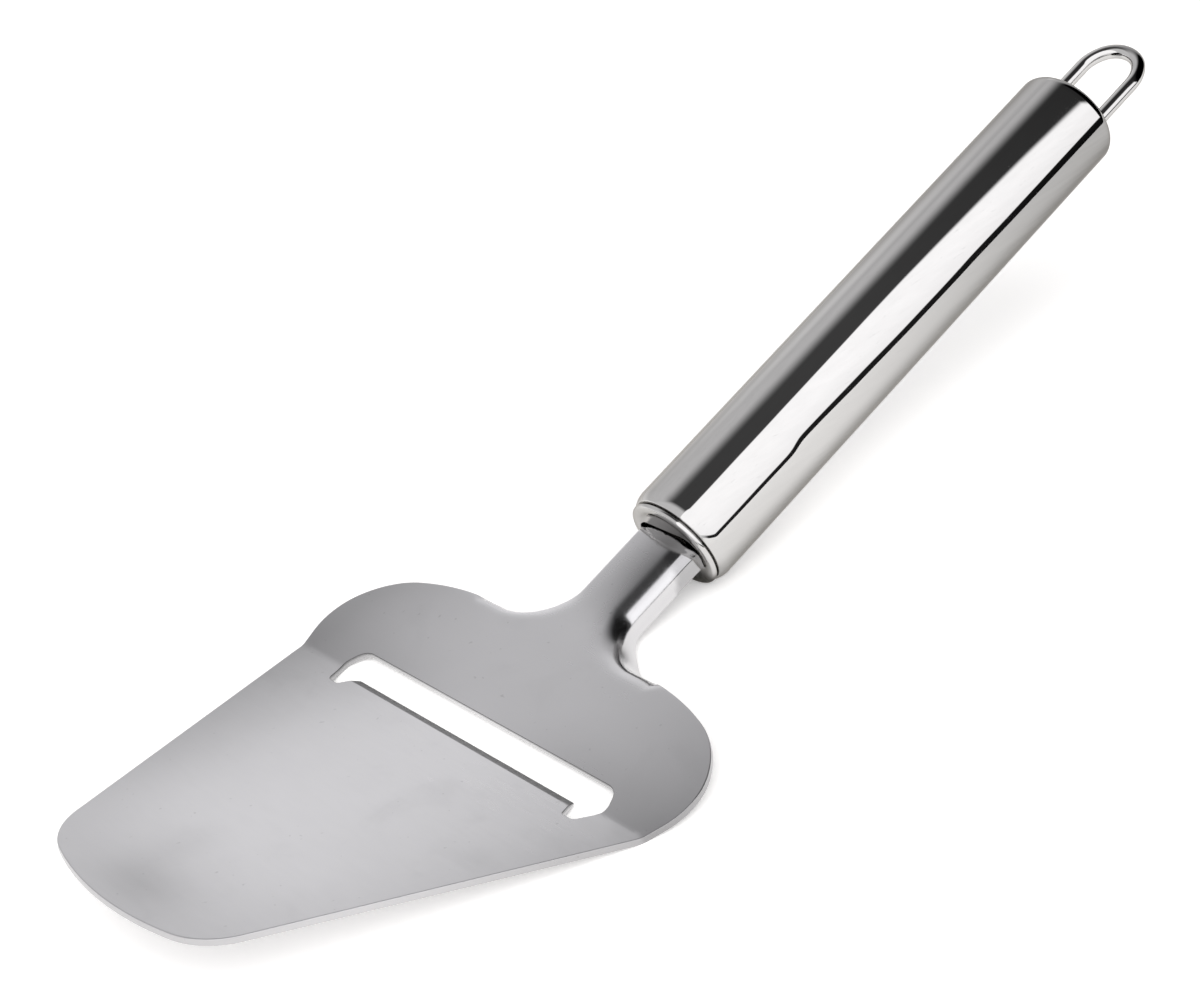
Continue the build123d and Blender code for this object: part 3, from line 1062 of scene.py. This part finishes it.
def grid_points(blade, slot):
    """Inner points of the blade's domain: columns across, close together in the bends and the bevel."""
    rear = 62 * MM
    line = 0.12 * MM
    bevel = -slot.front - slot.bevel_width
    back = -slot.front - slot.back_width
    front_plate = (-blade.front_length, -4.2 * MM, 20)
    bevel_lines = [(bevel - line, bevel + line, 1), (back - line, back + line, 1)]
    crease = (-0.9 * MM, 1.2 * MM, 6)
    rear_plate = (3 * MM, 27 * MM, 8)
    neck_bend = (28 * MM, 34 * MM, 8)
    tang = (36 * MM, rear, 20)
    spans = [front_plate, *bevel_lines, crease, rear_plate, neck_bend, tang]
    columns = [x for span in spans for x in sweep_through(*span)]
    points = [Vector((x, y)) for x in columns for y in sweep_through(-48 * MM, 48 * MM, 38)]
    neck_rows = sweep_through(-5.2 * MM, 6.1 * MM, 11)
    points += [Vector((x, y)) for x in sweep_through(24.3 * MM, rear, 30) for y in neck_rows]
    return points


def blotch(x, y, middle, reach):
    """A soft patch of the plate: all in its middle, and little beyond its reach."""
    return exp(-((x - middle[0]) / reach[0]) ** 2 - ((y - middle[1]) / reach[1]) ** 2)


def front_painted_shade_and_stains(x, y):
    """Painted shade on the front plate: darker to both sides and at the tip, with a stain and a rub."""
    tip = eased((-x - 40) / 26)
    stain = 0.16 * blotch(x, y, (-60, -2), (5, 9))
    rub = 0.07 * blotch(x, y, (-50, 3), (6, 4))
    # Painted shade: darker towards both sides and at the tip
    sides = 0.27 * ((y + 4) / 38) ** 2 + 0.08 * eased((y - 14) / 20)
    return 1 - sides * (1 - tip) - 0.2 * tip - stain - rub


def neck_painted_shade_and_highlight(x, y):
    """Painted shade and highlight on the neck: darker to its near side and beside the cap, bright again
    on the near flange.
    """
    roll = 0.94 - 0.42 * eased((5.5 - y) / 8)
    fold = eased((-2.5 - y) / 2)
    buffed = 0.2 * tang_buffing(x)
    # Painted shade to the near side and beside the cap, painted highlight on the near flange
    return roll + (0.83 - buffed - roll) * fold + (0.26 - buffed) * eased((-4.9 - y) / 1.6)


def plate_painted_light(spot):
    """Painted shade and highlight on the sheet's faces at a place in its frame: darker to the sides and
    behind the crease.
    """
    x, y = spot.x / MM, spot.y / MM
    if x < 0:
        return front_painted_shade_and_stains(x, y)
    # Painted shade behind the crease and towards both sides
    crease_painted_shade = 0.12 * (1 - eased(x / 14)) * eased(abs(y) / 30)
    plate = 1 - 0.3 * min(1.2, ((y + 2) / 42) ** 2) - crease_painted_shade
    return plate + (neck_painted_shade_and_highlight(x, y) - plate) * eased((x - 24) / 16)


def tang_buffing(x):
    """How much the tang is polished, and how much painted shade the neck gets there: only beside the cap.
    """
    return eased((x - 42) / 1.5)


class SLICER_OT_blade(bpy.types.Operator):
    """Make the pressed blade with its slot, neck and tang"""

    bl_idname = "slicer.blade"
    bl_label = "Blade"

    def execute(self, context):
        scene = context.scene
        blade, neck, slot = scene.slicer_blade, scene.slicer_neck, scene.slicer_slot
        face = BentFace(blade, neck)
        grind = TongueGrind(blade, slot)
        sheet = Sheet(face.place, face.normal, blade.sheet, grind)
        domain, sections, outwards = self.rim_loop(sheet, blade, neck)
        ups = [face.undipped_normal(point) for point in domain]
        rim_frames = [((out - up * out.dot(up)).normalized(), up) for out, up in zip(outwards, ups)]
        loops = [(domain, sections), self.slot_loop(sheet, slot)]
        sheet.build(loops, grid_points(blade, slot), rim_frames)
        # The tone attribute carries the painted shade and highlight; buffed only smooths the finish
        tones = {"tone": plate_painted_light, "buffed": lambda spot: tang_buffing(spot.x / MM)}
        piece = sheet.finished("blade_sheet", blade_place(blade), tones)
        dress(piece, SATIN, "blade")
        return {"FINISHED"}

    def rim_loop(self, sheet, blade, neck):
        """Domain points, sections and outward directions round the sheet, anticlockwise from above."""
        far = half_outline(blade, neck, neck.half_width)
        near = [Vector((point.x, -point.y)) for point in half_outline(blade, neck, neck.near_half_width)]
        far = far[:0:-1]
        whole = near + far
        frames = sheet.edge_frames(whole)
        frames[len(near) - 1] = frames[len(near) - 2]
        frames[len(near)] = frames[len(near) + 1]
        rims = [BladeRim(blade, neck, near, True), BladeRim(blade, neck, far, False)]
        found = [rims[0].at(point) for point in near] + [rims[1].at(point) for point in far]
        outwards = [outward for outward, _ in frames]
        domain = offset_inwards(whole, outwards, [inset for inset, _ in found])
        sections = [section for _, section in found]
        last_near, first_far = domain[len(near) - 1], domain[len(near)]
        across = [last_near.lerp(first_far, done) for done in sweep_through(0, 1, 6)]
        cut = cut_section(blade.sheet, len(sections[0]))
        domain[len(near):len(near)] = across
        sections[len(near):len(near)] = [cut] * len(across)
        outwards[len(near):len(near)] = [Vector((1, 0, 0))] * len(across)
        return domain, sections, outwards

    def slot_loop(self, sheet, slot):
        """Domain points and sections round the slot."""
        pairs = slot_corners(slot)
        corners, radii = zip(*pairs)
        loop = rounded_outline(list(corners), radii, Pen.spacing)
        inset = 0.1 * MM
        # The slot's cut edges are marked as ground, so the satin paints shade on them
        ground = 0.9
        outwards = [outward for outward, _ in sheet.edge_frames(loop)]
        domain = offset_inwards(loop, outwards, [inset] * len(loop))
        sections = []
        for point in domain:
            thickness = sheet.thickness_at(point)
            sections.append(plain_section(inset, thickness, min(inset, 0.45 * thickness), ground))
        return domain, sections


# The handle
def tube_side(handle, inset):
    """One side of the tube's profile, from its mouth to the rear opening."""
    radius = handle.radius - inset
    drop, run = handle.shoulder_drop, handle.shoulder_length
    swing = (drop**2 + run**2) / (2 * drop)
    straight_end = handle.tube_length - handle.rear_round
    end_round = handle.rear_round - inset
    points = arc_points((radius - swing, run), swing, -asin(run / swing), 0, 10)
    points += [(radius, spot) for spot in sweep_through(run, straight_end, 110)[1:-1]]
    points += arc_points((radius - end_round, straight_end), end_round, 0, pi / 2, 12)
    opening = handle.radius - handle.rear_round - handle.rear_lip
    points.append((opening, handle.tube_length - inset))
    return points


class Dent:
    """A shallow dent of a used handle: where its middle is, how far it reaches, and how deep it is."""

    def __init__(self, around, along, before, behind, width, depth):
        self.around = radians(around)
        self.along = along * MM
        self.before = before * MM
        self.behind = behind * MM
        self.width = width * MM
        self.depth = depth * MM

    def depth_at(self, radius, around, along):
        """Depth at an angle round the tube and a place along it."""
        turn = signed_turn(around - self.around)
        reach = (along - self.along) / (self.before if along < self.along else self.behind)
        return self.depth * exp(-((turn * radius / self.width) ** 2) / 2 - reach * reach)


DENTS = (
    Dent(around=169, along=25.5, before=2.2, behind=22, width=2.1, depth=0.22),
    Dent(around=169, along=74, before=3, behind=6, width=2.0, depth=0.02),
)


def signed_turn(turn):
    """The same angle between half a turn to either side."""
    return (turn + pi) % (2 * pi) - pi


def tube_dents(handle):
    """The dents' depth, as a function of the angle round the tube and the place along it."""
    return lambda around, along: sum(dent.depth_at(handle.radius, around, along) for dent in DENTS)


def tube_painted_shade(around, along):
    """Painted shade on the tube: low on the near side and high on the far side, more to the rear."""
    from_top = signed_turn(around - pi / 2)
    rearwards = eased((along / MM - 20) / 90)
    near = eased((from_top - radians(72)) / radians(6))
    rim = 0.3 * (1 - 0.7 * rearwards) * eased((from_top - radians(92)) / radians(22))
    far = eased((radians(3) - from_top) / radians(8))
    # Painted shade on the near rim and the far side, growing towards the rear
    return near * (0.03 + rim + 0.36 * rearwards) + far * 0.28 * rearwards


class SLICER_OT_handle(bpy.types.Operator):
    """Make the drawn tube of the handle"""

    bl_idname = "slicer.handle"
    bl_label = "Handle tube"

    def execute(self, context):
        scene = context.scene
        handle = scene.slicer_handle
        outer = [Vector(spot) for spot in tube_side(handle, 0)]
        inner = [Vector(spot) for spot in tube_side(handle, handle.wall)]
        corners = outer + inner[::-1]
        radii = [0.0] * len(corners)
        radii[0] = 0.28 * MM
        for cut_corner in (len(outer) - 1, len(outer), -1):
            radii[cut_corner] = 0.1 * MM
        profile = rounded_outline(corners, radii, 5 * MM)
        place = handle_place(scene.slicer_blade, handle)
        piece = lathed("handle_tube_body", profile, place, tube_dents(handle), tube_painted_shade)
        dress(piece, POLISHED, "handle_tube")
        return {"FINISHED"}


def circle(centre, radius, steps):
    """Plan points of a circle, anticlockwise."""
    return [
        Vector((centre[0] + radius * cos(turn), centre[1] + radius * sin(turn)))
        for turn in sweep_through(0, 2 * pi, steps)[:-1]
    ]


def unmarked(path):
    """A section from plain points of out and up, with no finish of its own."""
    return [(spot.x, spot.y, 0, 0) for spot in path]


def grid_in(radius, spacing):
    """Points of a square grid that covers a circle."""
    steps = int(radius / spacing) + 1
    spots = [spacing * step for step in range(-steps, steps + 1)]
    return [Vector((x, y)) for x in spots for y in spots if hypot(x, y) < radius - spacing / 2]


class Dish:
    """The cap's front face: flat in the middle, then a smooth slope up to the lip."""

    def __init__(self, inner, outer, crest, face):
        self.inner = inner
        self.outer = outer
        self.crest = crest
        self.face = face

    def done(self, point):
        """How far a point is on its way up the slope."""
        return (point.length - self.inner) / (self.outer - self.inner)

    def place(self, point):
        """The point of the dish over a point in plan."""
        return Vector((point.x, -point.y, -self.face - self.crest * eased(self.done(point))))

    def normal(self, point):
        """Direction away from the tube."""
        done = self.done(point)
        if done <= 0 or done >= 1:
            return -UP
        slope = 6 * done * (1 - done) * self.crest / (self.outer - self.inner)
        lean = point.normalized() * -slope
        return Vector((lean.x, -lean.y, -1)).normalized()


def cap_painted_shade(spot):
    """Painted shade on the cap: only in its lower part."""
    return 0.85 * eased((-spot.y / MM - 3) / 3.5)


class SLICER_OT_cap(bpy.types.Operator):
    """Make the dished cap that closes the tube's mouth round the tang"""

    bl_idname = "slicer.cap"
    bl_label = "Front cap"

    def execute(self, context):
        scene = context.scene
        handle, neck = scene.slicer_handle, scene.slicer_neck
        skirt_outer = handle.radius - handle.shoulder_drop - handle.wall - handle.fit_clearance
        start = skirt_outer - handle.wall - 0.1 * MM
        crest = handle.cap_lip - handle.cap_face
        dish = Dish(start - handle.cap_slope_width, start, crest, handle.cap_face)
        sheet = Sheet(dish.place, dish.normal, handle.wall)
        rim = circle((0, 0), start, 160)
        loops = [(rim, [self.lip_section(handle, start, skirt_outer)] * len(rim))]
        loops.append(self.tang_slot(handle, neck))
        rings = [circle((0, 0), radius, 120) for radius in sweep_through(0.94 * start, 0.7 * start, 10)]
        inner_points = [point for ring in rings for point in ring] + grid_in(0.68 * start, 0.8 * MM)
        sheet.build(loops, inner_points)
        place = handle_place(scene.slicer_blade, handle)
        # Painted shade on the cap's lower part
        piece = sheet.finished("front_cap_dish", place, {"painted_shade": cap_painted_shade})
        dress(piece, POLISHED, "front_cap")
        return {"FINISHED"}

    def lip_section(self, handle, start, skirt_outer):
        """The cap's rim from its face: over the lip, in at the seam, and along the skirt and back."""
        lip_out = handle.radius - handle.shoulder_drop - 0.15 * MM - start
        skirt_out = skirt_outer - start
        skirt_in = skirt_out - handle.wall
        skirt_end = -handle.cap_lip - handle.cap_skirt
        corners = [
            Vector((0, 0)),
            Vector((lip_out, 0)),
            Vector((lip_out, -0.6 * handle.cap_lip)),
            Vector((lip_out - handle.cap_pinch, -handle.cap_lip)),
            Vector((skirt_out, -handle.cap_lip)),
            Vector((skirt_out, skirt_end)),
            Vector((skirt_in, skirt_end)),
            Vector((skirt_in, -handle.wall)),
            Vector((0, -handle.wall)),
        ]
        rounds = [0, 0.55, 0.2, 0.03, 0.03, 0.1, 0.1, 0.02, 0]
        return unmarked(rounded_path(corners, [size * MM for size in rounds], 0.6 * MM))

    def tang_slot(self, handle, neck):
        """Domain points and sections round the slot for the tang."""
        gap = 0.4 * handle.tang_clearance
        near, far = -neck.near_half_width - gap, neck.half_width + gap
        top = -handle.tang_rise - gap
        lowest = gap + neck.dip_depth - handle.tang_rise
        near_low, far_low = neck.near_flange_depth + lowest, neck.flange_depth + lowest
        corners = [(near, near_low), (far, far_low), (far, top), (near, top)]
        rounds = [0.1 * MM, 0.1 * MM, neck.fold_radius + gap, neck.near_fold_radius + gap]
        hole = rounded_outline([Vector(corner) for corner in corners], rounds, 0.5 * MM)
        outwards = []
        for index in range(len(hole)):
            run = (hole[(index + 1) % len(hole)] - hole[index - 1]).normalized()
            outwards.append(Vector((run.y, -run.x)))
        inset = 0.2 * MM
        domain = offset_inwards(hole, outwards, [inset] * len(hole))
        return domain, [plain_section(inset, handle.wall, 0.15 * MM)] * len(domain)


def leg_places(loop):
    """Where the loop's two legs stand, across the handle's axis."""
    return [
        Vector((side * loop.half_spacing * cos(loop.turn), side * loop.half_spacing * sin(loop.turn)))
        for side in (-1, 1)
    ]


class SLICER_OT_plug(bpy.types.Operator):
    """Make the plug that fills the tube's rear opening"""

    bl_idname = "slicer.plug"
    bl_label = "Rear plug"

    def execute(self, context):
        scene = context.scene
        handle, loop = scene.slicer_handle, scene.slicer_loop
        thickness = handle.plug_thickness + handle.wall
        sheet = Sheet(lambda point: point.to_3d() + UP * handle.tube_length, lambda point: UP, thickness)
        step_radius = handle.radius - handle.rear_round - handle.rear_lip - handle.fit_clearance
        flange_radius = handle.radius - handle.wall - handle.fit_clearance
        start = step_radius - 0.4 * MM
        step_out, flange_out = step_radius - start, flange_radius - start
        corners = [
            Vector((0, 0)),
            Vector((step_out, 0)),
            Vector((step_out, -handle.wall)),
            Vector((flange_out, -handle.wall)),
            Vector((flange_out, -thickness)),
            Vector((0, -thickness)),
        ]
        radii = [0, 0.15 * MM, 0.05 * MM, handle.rear_round - handle.wall, 0.1 * MM, 0]
        section = unmarked(rounded_path(corners, radii, 0.6 * MM))
        rim = circle((0, 0), start, 96)
        loops = [(rim, [section] * len(rim))]
        inset = 0.12 * MM
        bore = loop.wire_radius + handle.fit_clearance
        for spot in leg_places(loop):
            hole = circle(spot, bore + inset, 40)[::-1]
            loops.append((hole, [plain_section(inset, thickness, 0.1 * MM)] * len(hole)))
        sheet.build(loops, grid_in(start, 0.9 * MM))
        piece = sheet.finished("rear_plug_disc", handle_place(scene.slicer_blade, handle))
        dress(piece, POLISHED, "rear_plug")
        return {"FINISHED"}


class SLICER_OT_loop(bpy.types.Operator):
    """Make the bent wire loop that the slicer hangs from"""

    bl_idname = "slicer.loop"
    bl_label = "Hanging loop"

    def execute(self, context):
        scene = context.scene
        handle, loop = scene.slicer_handle, scene.slicer_loop
        inside = handle.tube_length - handle.wall - handle.plug_thickness - loop.stub
        top_radius = loop.side_radius - (loop.side_radius - loop.half_spacing) / cos(loop.side_turn)
        pen = Pen((loop.half_spacing, inside), pi / 2)
        pen.ahead(handle.tube_length + loop.leg - inside, 2 * MM)
        pen.bend(loop.side_radius, loop.side_turn)
        pen.bend(top_radius, pi - 2 * loop.side_turn)
        pen.bend(loop.side_radius, loop.side_turn)
        pen.ahead(handle.tube_length + loop.leg - inside, 2 * MM)
        place = handle_place(scene.slicer_blade, handle) @ Matrix.Rotation(loop.turn, 4, "Z")
        piece = bent_wire("hanging_loop_wire", pen.points, loop.wire_radius, place)
        dress(piece, POLISHED, "hanging_loop")
        return {"FINISHED"}


def rounded_end(spot, run, inwards, radius):
    """Rings of a wire's cut end with a rounded edge, from the end inwards."""
    edge = 0.2 * MM
    return [
        (spot + inwards * edge * (1 - cos(turn)), run, radius - edge * (1 - sin(turn)))
        for turn in sweep_through(0, pi / 2, 4)
    ]


def bent_wire(name, path, radius, place, segments=32):
    """A round wire along a path of points across and along the handle, with rounded cut ends."""
    runs = [(after - before).normalized() for before, after in zip(path[:1] + path, path[1:] + path[-1:])]
    rings = rounded_end(path[0], runs[0], runs[0], radius)
    rings += [(spot, run, radius) for spot, run in zip(path[1:-1], runs[1:-1])]
    rings += reversed(rounded_end(path[-1], runs[-1], -runs[-1], radius))
    vertices, faces = [], []
    for spot, run, ring_radius in rings:
        centre = Vector((spot.x, 0, spot.y))
        across = Vector((run.y, 0, -run.x))
        for turn in sweep_through(0, 2 * pi, segments)[:-1]:
            offset = across * cos(turn) + Vector((0, 1, 0)) * sin(turn)
            vertices.append(place @ (centre + offset * ring_radius))
    for low in range(0, len(vertices) - segments, segments):
        high = low + segments
        for segment in range(segments):
            following = (segment + 1) % segments
            faces.append([low + segment, low + following, high + following, high + segment])
    faces.append(list(range(segments))[::-1])
    faces.append(list(range(len(vertices) - segments, len(vertices))))
    return shown(name, smooth_mesh(name, vertices, faces))


class SLICER_OT_welds(bpy.types.Operator):
    """Give the weld beads behind the cap and the plug their finish"""

    bl_idname = "slicer.welds"
    bl_label = "Weld beads"

    def execute(self, context):
        material = material_of(WELD, context.scene)
        for name in ("tang_welds", "loop_welds"):
            beads = frame["nodes"][name]
            beads.data.materials.clear()
            beads.data.materials.append(material)
        return {"FINISHED"}


# The stage
def floor_material(studio):
    """Pale floor: white where light reaches it, with the object's shadow."""
    material, nodes = new_material("pale_floor")
    path = nodes.add("ShaderNodeLightPath")
    seen = nodes.number(path, "Is Camera Ray")
    seen = seen.at_least(nodes.number(path, "Is Glossy Ray"))
    seen = seen.at_least(nodes.number(path, "Is Transmission Ray"))
    diffuse = nodes.add("ShaderNodeBsdfDiffuse", None, {"Color": opaque(studio.floor)})
    glow = nodes.add("ShaderNodeEmission", None, {
        "Color": opaque(WHITE), "Strength": seen * studio.floor_glow,
    })
    both = nodes.add("ShaderNodeAddShader", None, {0: diffuse.outputs[0], 1: glow.outputs[0]})
    nodes.add("ShaderNodeOutputMaterial", None, {"Surface": both.outputs[0]})
    return material


def studio_world(studio):
    """White round the camera's view; for reflections, the panels and dark gaps of a photo studio."""
    world = bpy.data.worlds.new("studio")
    world.use_nodes = True
    nodes = Nodes(world.node_tree)
    direction = nodes.add("ShaderNodeTexCoord").outputs["Generated"]
    parts = nodes.add("ShaderNodeSeparateXYZ", None, {"Vector": direction})
    x, y, z = (nodes.number(parts, axis) for axis in "XYZ")
    towards_far = y.angle_from(z)
    towards_near = towards_far * -1
    rearwards = (x * 0.96 + z * 0.28 - 0.44).at_least(0) * 10

    far_wall = towards_far.rise(radians(8), radians(36)) * (studio.wall - studio.gap)
    horizon = towards_far.rise(radians(70), radians(93)) * 0.45
    panel_start = radians(21.5) + rearwards * rearwards * radians(15)
    panel_blur = radians(1.2) + rearwards * radians(4)
    panel = ((towards_near - panel_start) / panel_blur).rise(-1, 1)
    panel = panel * (1 - towards_near.rise(radians(86.5), radians(88)))
    panel = panel * (1 - towards_near.rise(radians(50), radians(88)) * 0.08)
    lamp = (x * 0.54 + y * 0.73 + z * 0.41).rise(0.93, 0.99) * 0.4
    gap = studio.gap * (1 - towards_near.rise(radians(85), radians(88)) * 0.75) * (1 - rearwards * 0.4)
    front_wall = (x * -1).rise(0.15, 0.5) * 0.8
    seen = (gap + far_wall + horizon + panel * studio.panel + lamp).at_least(front_wall)

    path = nodes.add("ShaderNodeLightPath")
    camera = nodes.number(path, "Is Camera Ray")
    strength = camera + (1 - camera) * seen
    tint = nodes.mixed(camera, studio.reflected, WHITE)
    background = nodes.add("ShaderNodeBackground", None, {"Color": tint, "Strength": strength})
    nodes.add("ShaderNodeOutputWorld", None, {"Surface": background.outputs[0]})
    return world


class SLICER_OT_stage(bpy.types.Operator):
    """Make the floor, the light and the camera"""

    bl_idname = "slicer.stage"
    bl_label = "Stage"

    def execute(self, context):
        scene = context.scene
        studio = scene.slicer_studio
        scene.view_settings.view_transform = "Standard"
        scene.world = studio_world(studio)
        near, far, side = -0.2, 1.2, 1.0
        corners = [(-side, near, 0), (side, near, 0), (side, far, 0), (-side, far, 0)]
        mesh = bpy.data.meshes.new("floor")
        mesh.from_pydata(corners, [], [(0, 1, 2, 3)])
        floor = shown("floor", mesh)
        floor.data.materials.append(floor_material(studio))
        self.make_lamp(scene, studio)
        self.make_camera(scene, studio)
        return {"FINISHED"}

    def make_lamp(self, scene, studio):
        """One large soft lamp above."""
        lamp = bpy.data.lights.new("soft_lamp", "AREA")
        lamp.size = studio.lamp_size
        lamp.energy = studio.lamp_power
        holder = bpy.data.objects.new("soft_lamp", lamp)
        holder.location = studio.lamp_place
        holder.rotation_mode = "QUATERNION"
        holder.rotation_quaternion = (-Vector(studio.lamp_place)).to_track_quat("-Z", "Y")
        holder.visible_glossy = False
        scene.collection.objects.link(holder)

    def make_camera(self, scene, studio):
        """The camera of the photograph."""
        camera = bpy.data.cameras.new("camera")
        camera.sensor_width = 36
        camera.lens = studio.lens / MM
        holder = bpy.data.objects.new("camera", camera)
        sight = Vector(studio.sight).to_track_quat("-Z", "Y").to_matrix().to_4x4()
        roll = Matrix.Rotation(studio.roll, 4, "Z")
        holder.matrix_world = Matrix.Translation(studio.camera) @ sight @ roll
        camera.clip_start = 0.01
        scene.collection.objects.link(holder)
        scene.camera = holder


OPERATORS = (
    SLICER_OT_blade,
    SLICER_OT_handle,
    SLICER_OT_cap,
    SLICER_OT_plug,
    SLICER_OT_loop,
    SLICER_OT_welds,
    SLICER_OT_stage,
)


class SLICER_PT_panel(bpy.types.Panel):
    """Sizes, finishes and buttons of the cheese slicer"""

    bl_idname = "SLICER_PT_panel"
    bl_label = "Cheese slicer"
    bl_space_type = "VIEW_3D"
    bl_region_type = "UI"
    bl_category = "Slicer"

    def draw(self, context):
        for operator in OPERATORS:
            self.layout.operator(operator.bl_idname)
        for group_name, group in GROUPS.items():
            box = self.layout.box()
            for size in group.__annotations__:
                label = size.replace("_", " ").capitalize()
                box.prop(getattr(context.scene, group_name), size, text=label)


CLASSES = (*GROUPS.values(), *OPERATORS, SLICER_PT_panel)


def register():
    for part in CLASSES:
        bpy.utils.register_class(part)
    for group_name, group in GROUPS.items():
        setattr(bpy.types.Scene, group_name, bpy.props.PointerProperty(type=group))


def unregister():
    for group_name in GROUPS:
        delattr(bpy.types.Scene, group_name)
    for part in reversed(CLASSES):
        bpy.utils.unregister_class(part)


def main():
    register()
    bpy.ops.slicer.blade()
    bpy.ops.slicer.handle()
    bpy.ops.slicer.cap()
    bpy.ops.slicer.plug()
    bpy.ops.slicer.loop()
    bpy.ops.slicer.welds()
    bpy.ops.slicer.stage()


if __name__ == "__main__":
    main()
